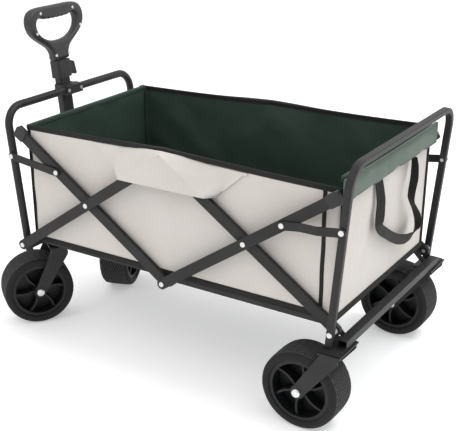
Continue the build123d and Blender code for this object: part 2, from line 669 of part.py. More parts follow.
def build():
    """Every node's name and its list of solids, in the frame's own coordinates."""
    nodes = {}
    front_corner, rear_corner = (-corner_x, corner_z), (corner_x, corner_z)
    front_cross, rear_cross = (-half_base / 2, crossing_z), (half_base / 2, crossing_z)
    front_low, rear_low = (-half_base, pivot_z), (half_base, pivot_z)
    hub_low, hub_top = (0, hub_z), (0, top_hub_z)
    for side, word in ((-1, "left"), (1, "right")):
        nodes[f"front_inner_bar_{word}"] = [scissor_bar(
            *front_corner, *hub_low, side, inner_layer, (front_cross, hub_low))]
        nodes[f"front_outer_bar_{word}"] = [scissor_bar(
            *front_low, *hub_top, side, outer_layer, (front_low, front_cross, hub_top))]
        nodes[f"rear_inner_bar_{word}"] = [scissor_bar(
            *hub_top, *rear_low, side, inner_layer, (hub_top, rear_cross, rear_low))]
        nodes[f"rear_outer_bar_{word}"] = [scissor_bar(
            *hub_low, *rear_corner, side, outer_layer, (hub_low, rear_cross))]
        nodes[f"front_link_{word}"] = [front_link(side)]
        nodes[f"rear_link_{word}"] = [rear_link(side)]
        nodes[f"rear_fork_{word}"] = [rear_fork(side)]
        angle = left_heading if side < 0 else right_heading
        nodes[f"caster_fork_{word}"] = [caster_place(side, angle) * caster_fork()]
        centre, axis = caster_axle(side, angle)
        nodes[f"caster_axle_{word}"] = [on_axis(axle(), centre, axis)]
        nodes[f"front_tyre_{word}"] = [on_axis(tyre(), centre, axis)]
        nodes[f"front_hub_{word}"] = [on_axis(hub(), centre, axis)]
        rear_centre = (rear_axle_x, side * rear_wheel_y, wheel_r)
        nodes[f"rear_tyre_{word}"] = [on_axis(tyre(), rear_centre, (0, 1, 0))]
        nodes[f"rear_hub_{word}"] = [on_axis(hub(), rear_centre, (0, 1, 0))]
        nodes[f"side_wall_{word}"] = [slab(side_profile(), side, fabric_half_width - wall, fabric_half_width)]

    nodes["rear_axles"] = both(lambda s: on_axis(axle(), (rear_axle_x, s * rear_wheel_y, wheel_r), (0, 1, 0)))
    shank = inner_layer + 0.1
    nodes["front_scissor_rivets"] = [rivet(*place, s, shank, outer_face) for s in (-1, 1)
                                     for place in (front_cross, hub_top)]
    nodes["rear_scissor_rivets"] = [rivet(*place, s, shank, outer_face) for s in (-1, 1)
                                    for place in (rear_cross, hub_low)]
    front_bar_at = (front_bar_pivot[0] - half_base, front_bar_pivot[1] + pivot_z)
    front_post_at = (front_post_pivot[0] - half_base, front_post_pivot[1] + pivot_z)
    rear_bar_at = (half_base - rear_bar_pivot[0], rear_bar_pivot[1] + pivot_z)
    rear_post_at = (half_base - rear_post_pivot[0], rear_post_pivot[1] + pivot_z)
    inner_outer_face = inner_layer + bar_thick
    nodes["front_link_rivets"] = both(lambda s: rivet(
        *front_bar_at, s, inner_outer_face + soft_gap, front_link_face + link_thick))
    nodes["rear_link_rivets"] = both(lambda s: rivet(
        *rear_bar_at, s, outer_face + soft_gap, outer_face + touch_gap + link_thick))
    front_pins = []
    rear_pins = []
    for side in (-1, 1):
        front_pins.append(rivet(*front_low, side, front_tube_y - 5.5, outer_face))
        front_pins.append(rivet(*front_post_at, side, front_tube_y - 5.5, front_link_face + link_thick))
        front_pins.append(saddle_rivet(side))
        front_pins.append(rail_pin(-half_base + rail_pivot_inset, front_rail_y, side))
        rear_pins.append(rivet(*rear_low, side, shank, rear_outer_face,
                               (inner_outer_face + soft_gap, rear_inner_face)))
        rear_pins.append(rivet(*rear_post_at, side, rear_inner_face, rear_link_face + link_thick))
        rear_pins.append(rail_pin(half_base - rail_pivot_inset, rear_rail_y, side))
    nodes["front_frame_rivets"] = front_pins
    nodes["rear_frame_rivets"] = rear_pins

    nodes["front_corner_caps"] = both(lambda s: corner_cap(*front_corner, -open_angle, s, inner_layer))
    nodes["rear_corner_caps"] = both(lambda s: corner_cap(*rear_corner, 180 + open_angle, s, outer_layer))
    hub_bar = Pos(0, 0, hub_z - hub_bar_height / 2) * (
        Box(hub_bar_width, 2 * inner_layer, hub_bar_height)
        - Box(hub_bar_width - 3, 2 * inner_layer + 2, hub_bar_height - 3))
    nodes["centre_hub_bar"] = [hub_bar]
    nodes["front_floor_rails"] = both(front_rail)
    nodes["rear_floor_rails"] = both(rear_rail)

    nodes["front_frame_tube"] = [front_frame_tube()]
    nodes["front_cross_tube"] = [front_cross_tube()]
    nodes["rear_frame_tube"] = [rear_frame_tube()]
    nodes["rear_cross_tube"] = [rear_cross_tube()]
    nodes["handle_bracket"] = [handle_bracket()]
    nodes["handle_pivot_pin"] = [handle_pin()]
    nodes["handle_saddle"] = [handle_saddle()]
    nodes["handle_lower_shaft"] = [on_shaft(lower_shaft())]
    nodes["handle_collar"] = [on_shaft(collar())]
    nodes["handle_inner_shaft"] = [on_shaft(inner_shaft())]
    nodes["clamp_lever"] = [on_shaft(clamp_lever())]
    nodes["grip_front_shell"] = [on_shaft(grip_shell(-1))]
    nodes["grip_rear_shell"] = [on_shaft(grip_shell(1))]
    nodes["grip_screws"] = [on_shaft(grip_screw(y, s)) for y, s in screw_places()]

    end_gap = 0.3
    nodes["basket_front_wall"] = [end_wall(basket_front, basket_front + wall, front_wall_top)]
    nodes["basket_rear_wall"] = [end_wall(basket_rear - wall, basket_rear, rear_wall_top)]
    nodes["floor_panel_front"] = [floor_panel(basket_front + wall + end_gap, -1)]
    nodes["floor_panel_rear"] = [floor_panel(1, basket_rear - wall - end_gap)]
    nodes["rear_roll"] = [rear_roll()]
    nodes["rear_loop"] = [rear_loop()]
    return nodes


def footprint_middle(nodes):
    boxes = [solid.bounding_box() for solids in nodes.values() for solid in solids]
    low_x, high_x = min(b.min.X for b in boxes), max(b.max.X for b in boxes)
    low_y, high_y = min(b.min.Y for b in boxes), max(b.max.Y for b in boxes)
    return (low_x + high_x) / 2, (low_y + high_y) / 2


def solids_of(shape):
    return list(shape.solids())


parts = {name: [s for shape in shapes for s in solids_of(shape)] for name, shapes in build().items()}
middle_x, middle_y = footprint_middle(parts)
os.makedirs("parts", exist_ok=True)
for name, solids in parts.items():
    placed = [Pos(-middle_x, -middle_y, 0) * s for s in solids]
    export_step(placed[0] if len(placed) == 1 else Compound(placed), f"parts/{name}.step")
print(f"{len(parts)} nodes; shift {-middle_x:.3f}, {-middle_y:.3f}; fold {fold_range:.3f} degrees")
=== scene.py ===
"""Folding camp wagon: fabric, wheels, grip and finishes around its frame. Metres, +Z up, handle towards -X."""
import math

import bmesh
import bpy
import numpy as np
from mathutils import Matrix, Vector


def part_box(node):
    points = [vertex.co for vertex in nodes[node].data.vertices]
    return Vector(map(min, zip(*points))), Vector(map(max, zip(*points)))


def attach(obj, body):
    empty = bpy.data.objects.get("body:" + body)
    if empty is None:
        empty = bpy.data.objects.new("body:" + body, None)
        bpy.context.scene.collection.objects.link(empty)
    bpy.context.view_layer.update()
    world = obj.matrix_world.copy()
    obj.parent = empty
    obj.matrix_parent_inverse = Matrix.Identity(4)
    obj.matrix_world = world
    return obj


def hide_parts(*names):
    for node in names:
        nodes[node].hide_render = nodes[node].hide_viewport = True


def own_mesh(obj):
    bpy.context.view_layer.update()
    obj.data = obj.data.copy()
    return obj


MM = 0.001
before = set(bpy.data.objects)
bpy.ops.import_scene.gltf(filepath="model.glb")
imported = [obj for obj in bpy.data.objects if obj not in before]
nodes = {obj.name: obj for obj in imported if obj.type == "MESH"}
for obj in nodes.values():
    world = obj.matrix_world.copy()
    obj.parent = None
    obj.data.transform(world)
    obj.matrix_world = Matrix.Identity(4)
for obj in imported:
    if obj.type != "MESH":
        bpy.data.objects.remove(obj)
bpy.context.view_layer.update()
scene = bpy.context.scene
scene.view_settings.view_transform = "Standard"

wall_low, wall_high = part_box("side_wall_left")
mid_x = wall_low.x + 0.397           # fore-and-aft middle of the folding gear
rear_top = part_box("basket_rear_wall")[1].z
front_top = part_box("basket_front_wall")[1].z


# ---------------------------------------------------------------- shader sums
class Wire:
    """A shader socket that takes part in Python sums."""

    def __init__(self, finish, socket):
        self.finish, self.socket = finish, socket

    def _sum(self, operation, *values):
        return self.finish.add("ShaderNodeMath", {"operation": operation}, dict(enumerate(values)))[0]

    def __add__(self, other):
        return self._sum("ADD", self, other)

    def __sub__(self, other):
        return self._sum("SUBTRACT", self, other)

    def __rsub__(self, other):
        return self._sum("SUBTRACT", other, self)

    def __mul__(self, other):
        return self._sum("MULTIPLY", self, other)

    __radd__, __rmul__ = __add__, __mul__

    def sine(self):
        return self._sum("SINE", self)

    def step(self, low, high):
        """0 below low, 1 above high, smooth between."""
        return self.finish.add("ShaderNodeMapRange", {"interpolation_type": "SMOOTHSTEP"},
                               {"Value": self, "From Min": low, "From Max": high})["Result"]


class Outputs:
    def __init__(self, finish, node):
        self.finish, self.node = finish, node

    def __getitem__(self, key):
        return Wire(self.finish, self.node.outputs[key])


class Finish:
    """One material and its node tree."""

    def __init__(self, name):
        self.material = bpy.data.materials.new(name)
        self.material.use_nodes = True
        self.tree = self.material.node_tree
        self.tree.nodes.clear()

    def add(self, kind, settings=None, sockets=None):
        node = self.tree.nodes.new(kind)
        for key, value in (settings or {}).items():
            setattr(node, key, value)
        for key, value in (sockets or {}).items():
            if isinstance(value, Wire):
                self.tree.links.new(value.socket, node.inputs[key])
            else:
                node.inputs[key].default_value = value
        return Outputs(self, node)

    def place(self, scale=1.0):
        """The point on the piece, in metres times scale."""
        where = self.add("ShaderNodeTexCoord")["Object"]
        return self.add("ShaderNodeMapping", None, {"Vector": where, "Scale": (scale,) * 3})[0]

    def cloth_uv(self, scale=(1, 1, 1)):
        where = self.add("ShaderNodeUVMap", {"uv_map": "cloth"})[0]
        return self.add("ShaderNodeMapping", None, {"Vector": where, "Scale": scale})[0]

    def noise(self, where, scale, detail=3.0, rough=0.5):
        return self.add("ShaderNodeTexNoise", None,
                        {"Vector": where, "Scale": scale, "Detail": detail, "Roughness": rough})["Fac"]

    def mix(self, share, first, second):
        return self.add("ShaderNodeMix", {"data_type": "RGBA"},
                        {0: share, 6: (*first, 1) if isinstance(first, tuple) else first,
                         7: (*second, 1) if isinstance(second, tuple) else second})[2]

    def bump(self, height, distance, strength=1.0, before=None):
        sockets = {"Height": height, "Distance": distance, "Strength": strength}
        if before:
            sockets["Normal"] = before
        return self.add("ShaderNodeBump", None, sockets)["Normal"]

    def surface(self, **sockets):
        names = {key.replace("_", " "): value for key, value in sockets.items()}
        shader = self.add("ShaderNodeBsdfPrincipled", None, names)[0]
        self.add("ShaderNodeOutputMaterial", None, {"Surface": shader})
        return self.material


# ---------------------------------------------------------------- finishes
def powder_coat(name, colour, worn, rough=0.42):
    """Baked powder coat: fine orange peel, uneven gloss and a few rubbed patches."""
    f = Finish(name)
    where = f.place()
    peel = f.noise(where, 900.0, 2.0)
    cloud = f.noise(where, 14.0, 4.0, 0.6)
    rub = f.noise(where, 55.0, 5.0, 0.7).step(0.62, 0.75)
    base = f.mix(cloud.step(0.3, 0.7), colour, worn)
    base = f.mix(rub * 0.35, base, tuple(1.7 * c for c in worn))
    return f.surface(Base_Color=base, Metallic=0.0, Roughness=rough + (cloud - 0.5) * 0.16 - rub * 0.08,
                     Specular_IOR_Level=0.3, Normal=f.bump(peel, 0.12 * MM, 0.5))


def moulded(name, colour, rough, grain=0.25):
    """Moulded plastic with a spark-eroded grain."""
    f = Finish(name)
    where = f.place()
    fine = f.noise(where, 1500.0, 2.0)
    cloud = f.noise(where, 22.0, 3.0)
    base = f.mix(cloud.step(0.25, 0.8), colour, tuple(1.35 * c for c in colour))
    return f.surface(Base_Color=base, Roughness=rough + (cloud - 0.5) * 0.14 + (fine - 0.5) * 0.08,
                     Specular_IOR_Level=0.32,
                     Normal=f.bump(fine, 0.1 * MM, grain))


def plated(name, colour, rough, metallic):
    f = Finish(name)
    where = f.place()
    cloud = f.noise(where, 160.0, 4.0, 0.6)
    fine = f.noise(where, 1400.0, 2.0)
    base = f.mix(cloud.step(0.45, 0.75), colour, tuple(0.8 * c for c in colour))
    return f.surface(Base_Color=base, Metallic=metallic, Roughness=rough + (cloud - 0.5) * 0.2,
                     Normal=f.bump(fine, 0.05 * MM, 0.3))


def weave(f, pitch):
    """Height of a plain weave, on the cloth's own run of threads."""
    turn = 2 * math.pi / pitch
    uv = f.add("ShaderNodeSeparateXYZ", None, {0: f.cloth_uv()})
    across, along = uv["X"] * turn, uv["Y"] * turn
    return across.sine() * along.sine()


def woven(name, colour, shade, pitch, rough, sheen=0.0, fold=0.6):
    """Coated polyester: plain weave, faint slubs, and soft creases from folding."""
    f = Finish(name)
    threads = weave(f, pitch)
    where = f.cloth_uv()
    cloud = f.noise(where, 5.0, 3.0)
    slub = f.noise(f.cloth_uv((30, 600, 1)), 1.0, 2.0) + f.noise(f.cloth_uv((600, 30, 1)), 1.0, 2.0)
    crease = f.noise(where, 11.0, 2.0, 0.4)
    base = f.mix(cloud.step(0.3, 0.75), colour, shade)
    base = f.mix((slub - 0.8).step(0.0, 0.5) * 0.12 + (threads * 0.5 + 0.5) * 0.06, base,
                 tuple(0.72 * c for c in colour))
    soft = f.bump(crease, 6 * MM, fold)
    return f.surface(Base_Color=base, Roughness=rough + (cloud - 0.5) * 0.1, Specular_IOR_Level=0.25,
                     Sheen_Weight=sheen, Normal=f.bump(threads, 0.12 * MM, 0.4, soft))


def tape(name, colour, pitch, rough=0.75):
    """Binding tape or webbing: ribs across its length, with a faint twill."""
    f = Finish(name)
    uv = f.add("ShaderNodeSeparateXYZ", None, {0: f.cloth_uv()})
    ribs = (uv["X"] * (2 * math.pi / pitch)).sine()
    twill = ((uv["X"] + uv["Y"]) * (2 * math.pi / (1.7 * pitch))).sine()
    cloud = f.noise(f.cloth_uv(), 40.0, 3.0)
    base = f.mix((ribs * 0.5 + 0.5) * 0.5 + cloud * 0.4, colour, tuple(2.1 * c for c in colour))
    return f.surface(Base_Color=base, Roughness=rough + (cloud - 0.5) * 0.12, Specular_IOR_Level=0.3,
                     Normal=f.bump(ribs * 0.7 + twill * 0.3, 0.3 * MM, 0.6))


def rubber(name, colour, lit_rib_colour):
    """Tyre rubber: matt, with a painted highlight: the tops of the tread ribs are painted lighter, with a little
    random cloud mixed in.
    """
    f = Finish(name)
    where = f.place()
    cloud = f.noise(where, 30.0, 5.0, 0.65)
    fine = f.noise(where, 1100.0, 2.0)
    # The 'tread' attribute is a painted highlight mask: where it is high (the rib tops) the colour goes towards the
    # lighter second colour, a painted highlight.
    tread = f.add("ShaderNodeAttribute", {"attribute_name": "tread"})["Fac"]
    base = f.mix(tread.step(0.2, 0.9) * 0.8 + cloud * 0.2, colour, lit_rib_colour)
    return f.surface(Base_Color=base, Roughness=0.66 + (cloud - 0.5) * 0.2 + tread * 0.1, Specular_IOR_Level=0.2,
                     Normal=f.bump(fine, 0.15 * MM, 0.4))


frame_black = powder_coat("frame_powder_coat", (0.011, 0.011, 0.0115), (0.019, 0.019, 0.02), 0.48)
bar_black = powder_coat("bar_powder_coat", (0.011, 0.011, 0.0115), (0.018, 0.018, 0.019), 0.52)
shaft_black = powder_coat("shaft_powder_coat", (0.012, 0.012, 0.0125), (0.022, 0.022, 0.023), 0.38)
boot_plastic = moulded("boot_plastic", (0.02, 0.02, 0.021), 0.5)
grip_plastic = moulded("grip_plastic", (0.03, 0.03, 0.031), 0.42)
hub_plastic = moulded("hub_plastic", (0.0055, 0.006, 0.0068), 0.45)
zinc = plated("zinc_rivet", (0.66, 0.66, 0.65), 0.32, 0.6)
nut_chrome = plated("chrome_nut", (0.7, 0.7, 0.71), 0.2, 0.8)
canvas = woven("beige_canvas", (0.585, 0.555, 0.525), (0.54, 0.505, 0.47), 0.9 * MM, 0.82)
lining = woven("green_lining", (0.026, 0.045, 0.034), (0.038, 0.062, 0.048), 0.7 * MM, 0.6, 0.0, 0.9)
roll_cloth = woven("green_roll", (0.115, 0.15, 0.124), (0.098, 0.13, 0.107), 0.7 * MM, 0.62, 0.0, 0.8)
binding_black = tape("binding_tape", (0.007, 0.007, 0.007), 1.1 * MM)
webbing_black = tape("webbing", (0.008, 0.008, 0.0083), 1.4 * MM, 0.7)
thread_black = moulded("sewing_thread", (0.05, 0.05, 0.05), 0.6, 0.1)
# dark rubber, and a lighter grey painted on the rib tops as a highlight
tyre_black = rubber("tyre_rubber", (0.008, 0.008, 0.0083), (0.055, 0.055, 0.054))


# ---------------------------------------------------------------- mesh makers
def make(name, points, faces, finishes, uv=None, face_finish=None, smooth=True):
    """A mesh object in the frame's own coordinates, with its faces turned outwards."""
    mesh = bpy.data.meshes.new(name)
    mesh.from_pydata([tuple(map(float, p)) for p in points], [], faces)
    for finish in finishes:
        mesh.materials.append(finish)
    if face_finish is not None:
        mesh.polygons.foreach_set("material_index", face_finish)
    mesh.polygons.foreach_set("use_smooth", [smooth] * len(mesh.polygons))
    if uv is not None:
        layer = mesh.uv_layers.new(name="cloth")
        corners = np.zeros(len(mesh.loops), int)
        mesh.loops.foreach_get("vertex_index", corners)
        layer.data.foreach_set("uv", np.asarray(uv, np.float32)[corners].ravel())
    mesh.update()
    made = bpy.data.objects.new(name, mesh)
    scene.collection.objects.link(made)
    turn_out(made)
    return made


def turn_out(made, weld=0.0):
    """Turns the faces outwards, after joining points that lie within weld of each other."""
    work = bmesh.new()
    work.from_mesh(made.data)
    if weld:
        bmesh.ops.remove_doubles(work, verts=work.verts, dist=weld)
    bmesh.ops.recalc_face_normals(work, faces=work.faces)
    work.to_mesh(made.data)
    work.free()


def baked(made):
    """Turns an object with modifiers, or a curve, into a plain mesh object of the same name."""
    bpy.context.view_layer.update()
    graph = bpy.context.evaluated_depsgraph_get()
    mesh = bpy.data.meshes.new_from_object(made.evaluated_get(graph))
    name = made.name
    finishes = [s.material for s in made.material_slots if s.material]
    world = made.matrix_world.copy()
    bpy.data.objects.remove(made)
    mesh.transform(world)
    mesh.name = name
    plain = bpy.data.objects.new(name, mesh)
    if not mesh.materials:
        for finish in finishes:
            mesh.materials.append(finish)
    scene.collection.objects.link(plain)
    return plain


def cloth(name, grid, outward, thick, outer, inner, edge):
    """A closed sheet round a grid of points. outward is the way its outer face looks."""
    n, m = grid.shape[:2]
    along = np.gradient(grid, axis=0)
    up = np.gradient(grid, axis=1)
    normal = np.cross(along, up)
    normal /= np.linalg.norm(normal, axis=2, keepdims=True) + 1e-12
    normal *= np.where((normal @ np.array(outward, float)) < 0, -1.0, 1.0)[..., None]
    points = np.concatenate([(grid + normal * thick / 2).reshape(-1, 3),
                             (grid - normal * thick / 2).reshape(-1, 3)])
    run = np.zeros((n, m))
    run[1:] = np.cumsum(np.linalg.norm(np.diff(grid, axis=0), axis=2), axis=0)
    rise = np.zeros((n, m))
    rise[:, 1:] = np.cumsum(np.linalg.norm(np.diff(grid, axis=1), axis=2), axis=1)
    flat = np.stack([run, rise], axis=2).reshape(-1, 2)
    uv = np.concatenate([flat, flat])
    index = np.arange(n * m).reshape(n, m)
    back = index + n * m
    faces, kinds = [], []
    for i in range(n - 1):
        for j in range(m - 1):
            faces.append((index[i, j], index[i + 1, j], index[i + 1, j + 1], index[i, j + 1]))
            faces.append((back[i, j], back[i, j + 1], back[i + 1, j + 1], back[i + 1, j]))
            kinds += [0, 1]
    ring = ([(i, 0) for i in range(n)] + [(n - 1, j) for j in range(1, m)]
            + [(i, m - 1) for i in range(n - 2, -1, -1)] + [(0, j) for j in range(m - 2, 0, -1)])
    for (a, b), (c, d) in zip(ring, ring[1:] + ring[:1]):
        faces.append((index[a, b], back[a, b], back[c, d], index[c, d]))
        kinds.append(2)
    return make(name, points, [tuple(map(int, f)) for f in faces], [outer, inner, edge], uv, kinds)


def strip(name, path, across, width, thick, finish, corners=10):
    """A band with a rounded section along a path. across gives the width's direction at each point."""
    path, across = np.asarray(path, float), np.asarray(across, float)
    if across.ndim == 1:
        across = np.tile(across, (len(path), 1))
    ahead = np.gradient(path, axis=0)
    ahead /= np.linalg.norm(ahead, axis=1, keepdims=True)
    across = across - (across * ahead).sum(1, keepdims=True) * ahead
    across /= np.linalg.norm(across, axis=1, keepdims=True)
    out = np.cross(ahead, across)
    angles = np.linspace(0, 2 * math.pi, corners, endpoint=False) + math.pi / corners
    power = 0.45
    section = [(math.copysign(abs(math.cos(a)) ** power, math.cos(a)) * width / 2,
                math.copysign(abs(math.sin(a)) ** power, math.sin(a)) * thick / 2) for a in angles]
    points, uv = [], []
    run = np.concatenate([[0], np.cumsum(np.linalg.norm(np.diff(path, axis=0), axis=1))])
    for i in range(len(path)):
        for a, b in section:
            points.append(path[i] + across[i] * a + out[i] * b)
            uv.append((run[i], a))
    faces = []
    for i in range(len(path) - 1):
        for k in range(corners):
            n = (k + 1) % corners
            faces.append((i * corners + k, (i + 1) * corners + k, (i + 1) * corners + n, i * corners + n))
    faces.append(tuple(range(corners)))
    faces.append(tuple(range((len(path) - 1) * corners, len(path) * corners)))
    return make(name, points, faces, [finish], uv)


def line_of(x, y, z):
    """Points along a line, from numbers or arrays of the same length."""
    return np.stack(np.broadcast_arrays(*(np.asarray(v, float) for v in (x, y, z))), axis=1)


def smooth_step(x):
    x = np.clip(x, 0, 1)
    return x * x * (3 - 2 * x)


def folding(piece):
    """Fabric that rides with the basket: attaches the piece to the basket's body and gives it a mesh of its own."""
    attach(piece, "basket")
    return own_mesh(piece)


# ---------------------------------------------------------------- repeated stitches and ribs
def tree_socket(tree, name):
    return next(i.identifier for i in tree.interface.items_tree if i.name == name and i.in_out == "INPUT")


def stitch_tree():
    """Running stitches along a path: short rounded threads, one every pitch."""
    tree = bpy.data.node_groups.new("running_stitch", "GeometryNodeTree")
    face = tree.interface
    face.new_socket("Path", in_out="INPUT", socket_type="NodeSocketGeometry")
    for name, value in (("Pitch", 7 * MM), ("Length", 4 * MM), ("Thread", 0.45 * MM)):
        face.new_socket(name, in_out="INPUT", socket_type="NodeSocketFloat").default_value = value
    face.new_socket("Finish", in_out="INPUT", socket_type="NodeSocketMaterial")
    face.new_socket("Stitches", in_out="OUTPUT", socket_type="NodeSocketGeometry")

    def add(kind, sockets=None, **settings):
        node = tree.nodes.new(kind)
        for key, value in settings.items():
            setattr(node, key, value)
        for key, value in (sockets or {}).items():
            if hasattr(value, "is_output"):
                tree.links.new(value, node.inputs[key])
            else:
                node.inputs[key].default_value = value
        return node

    given = add("NodeGroupInput").outputs
    line = add("GeometryNodeMeshToCurve", {"Mesh": given["Path"]}).outputs["Curve"]
    line = add("GeometryNodeResampleCurve", {"Curve": line, "Length": given["Pitch"]}, mode="LENGTH").outputs["Curve"]
    spots = add("GeometryNodeCurveToPoints", {"Curve": line}, mode="EVALUATED").outputs
    thread = add("GeometryNodeMeshCylinder", {"Vertices": 6, "Radius": given["Thread"], "Depth": given["Length"]})
    turn = add("FunctionNodeAlignEulerToVector", {"Vector": spots["Tangent"]}, axis="Z").outputs[0]
    copies = add("GeometryNodeInstanceOnPoints", {"Points": spots["Points"], "Instance": thread.outputs["Mesh"],
                                                  "Rotation": turn}).outputs[0]
    real = add("GeometryNodeRealizeInstances", {"Geometry": copies}).outputs[0]
    dyed = add("GeometryNodeSetMaterial", {"Geometry": real, "Material": given["Finish"]}).outputs[0]
    tree.links.new(dyed, add("NodeGroupOutput").inputs[0])
    return tree


STITCH = stitch_tree()


def stitches(name, runs, pitch=7 * MM, length=4 * MM, thread=0.45 * MM):
    """Running stitches along each run of points."""
    points, edges = [], []
    for run in runs:
        start = len(points)
        points += [tuple(map(float, p)) for p in run]
        edges += [(start + k, start + k + 1) for k in range(len(run) - 1)]
    mesh = bpy.data.meshes.new(name)
    mesh.from_pydata(points, edges, [])
    made = bpy.data.objects.new(name, mesh)
    scene.collection.objects.link(made)
    modifier = made.modifiers.new("stitch", "NODES")
    modifier.node_group = STITCH
    for key, value in (("Pitch", pitch), ("Length", length), ("Thread", thread), ("Finish", thread_black)):
        modifier[tree_socket(STITCH, key)] = value
    return baked(made)


# ---------------------------------------------------------------- basket
SIDE_Y = 228.5 * MM                  # half width of the basket, at its cloth's middle
SIDE_Y_MAX = 231.8 * MM              # the scissor bars start outside this
FLOOR_Z = 246 * MM
SHEET = 2.2 * MM                     # canvas and lining together
HUB_TOP = 541 * MM                   # upper edge of a side wall over the top hub
HUB_REACH = 85 * MM                  # how far along the edge the hub pushes the cloth out
BINDING_HIGH = 12 * MM
BINDING_DROP = 5 * MM                # from the cloth's upper edge to the middle of its binding
SEWING_DROP = 9 * MM                 # and to the sewing along it
HEM_HIGH = 14 * MM
front_x, rear_x = wall_low.x, wall_high.x


def top_of_side(x, side):
    """Height of a side wall's upper edge: pushed up over the hub, and slack towards its rear corner."""
    t_front = np.clip((x - front_x) / (mid_x - front_x), 0, 1)
    t_rear = np.clip((x - mid_x) / (rear_x - mid_x), 0, 1)
    rear_end = rear_top - (24 * MM if side < 0 else 8 * MM)
    front = front_top + (HUB_TOP - front_top) * t_front - 2 * MM * np.sin(math.pi * t_front) ** 1.1
    rear = HUB_TOP + (rear_end - HUB_TOP) * t_rear - 2.5 * MM * np.sin(math.pi * t_rear) ** 1.1
    return np.where(x < mid_x, front, rear)


def side_depth(x, z, side):
    """Half width of the basket at a point of the side wall."""
    u = (x - front_x) / (rear_x - front_x)
    top = top_of_side(x, side)
    v = (z - FLOOR_Z) / (top - FLOOR_Z)
    belly = -4.5 * MM * np.sin(math.pi * v) ** 0.8 * np.abs(np.sin(2 * math.pi * u)) ** 0.8
    phase = 0.7 * side
    tension = 1.5 * MM * np.sin(math.pi * v) * np.sin(2 * math.pi * ((x - front_x) * 7 + (z - FLOOR_Z) * 9) + phase)
    tension *= np.exp(-((u - 0.12) / 0.16) ** 2) + np.exp(-((u - 0.88) / 0.16) ** 2)
    drape = 1.1 * MM * np.sin(2 * math.pi * (x - front_x) / 0.17 + phase) * v * (1 - v) * 4
    tent = np.clip((top - 8 * MM - z - 0.62 * np.abs(x - mid_x)) / 0.05, 0, 1) * np.clip((z - 0.36) / 0.14, 0, 1)
    lean = 10.5 * MM * np.exp(-((x - mid_x) / HUB_REACH) ** 2) * smooth_step((z - 0.530) / 0.012)
    depth = np.minimum(SIDE_Y + belly + tension + drape - 5 * MM * tent, SIDE_Y_MAX)
    ends = np.minimum(x - front_x, rear_x - x)
    return depth + lean - 4 * MM * (1 - smooth_step(ends / 0.014))


def side_grid(side, columns=150, rows=44):
    x = np.linspace(front_x + 1 * MM, rear_x - 1 * MM, columns)
    grid = np.zeros((columns, rows, 3))
    for j, v in enumerate(np.linspace(0, 1, rows)):
        z = FLOOR_Z + (top_of_side(x, side) - 2 * MM - FLOOR_Z) * v
        grid[:, j] = np.stack([x, side * side_depth(x, z, side), z], axis=1)
    return grid


def end_grid(x_wall, top, bulge, columns=70, rows=36):
    """A front or rear wall, with soft puckers under its upper edge."""
    half = SIDE_Y - 5 * MM
    y = np.linspace(-half, half, columns)
    grid = np.zeros((columns, rows, 3))
    for j, v in enumerate(np.linspace(0, 1, rows)):
        z = FLOOR_Z + (top - 2 * MM - FLOOR_Z) * v
        pucker = 3.2 * MM * (1 - v ** 8) * math.exp(-(1 - v) * 3.0) * np.sin(2 * math.pi * y / 0.118 + 0.8)
        pucker += 1.6 * MM * math.sin(math.pi * v) * np.sin(2 * math.pi * (y * 5.2 + (z - FLOOR_Z) * 4.5))
        belly = bulge * math.sin(math.pi * v) * np.cos(math.pi * y / (2.05 * half))
        grid[:, j] = np.stack([x_wall + belly + pucker * np.cos(math.pi * y / (2.1 * half)), y,
                               np.full(columns, z)], axis=1)
    return grid


FLAP_LEFT, FLAP_RIGHT = -109 * MM, 117 * MM      # corners of the free lower edge, from the hub
FLAP_LOW = 458 * MM                              # height of that edge
FLAP_OUT = 259.2 * MM                            # half width over the rivet heads
FLAP_IN = 231.4 * MM                             # and where it lies on the wall
APEX_X, APEX_Z = 4 * MM, 533 * MM
FLAP_SEWN = 88 * MM                              # what is sewn to the wall past each corner
FLAP_CLOSES = 12 * MM                            # past a corner, the lower edge meets the wall within this
HALF_ROWS = 14


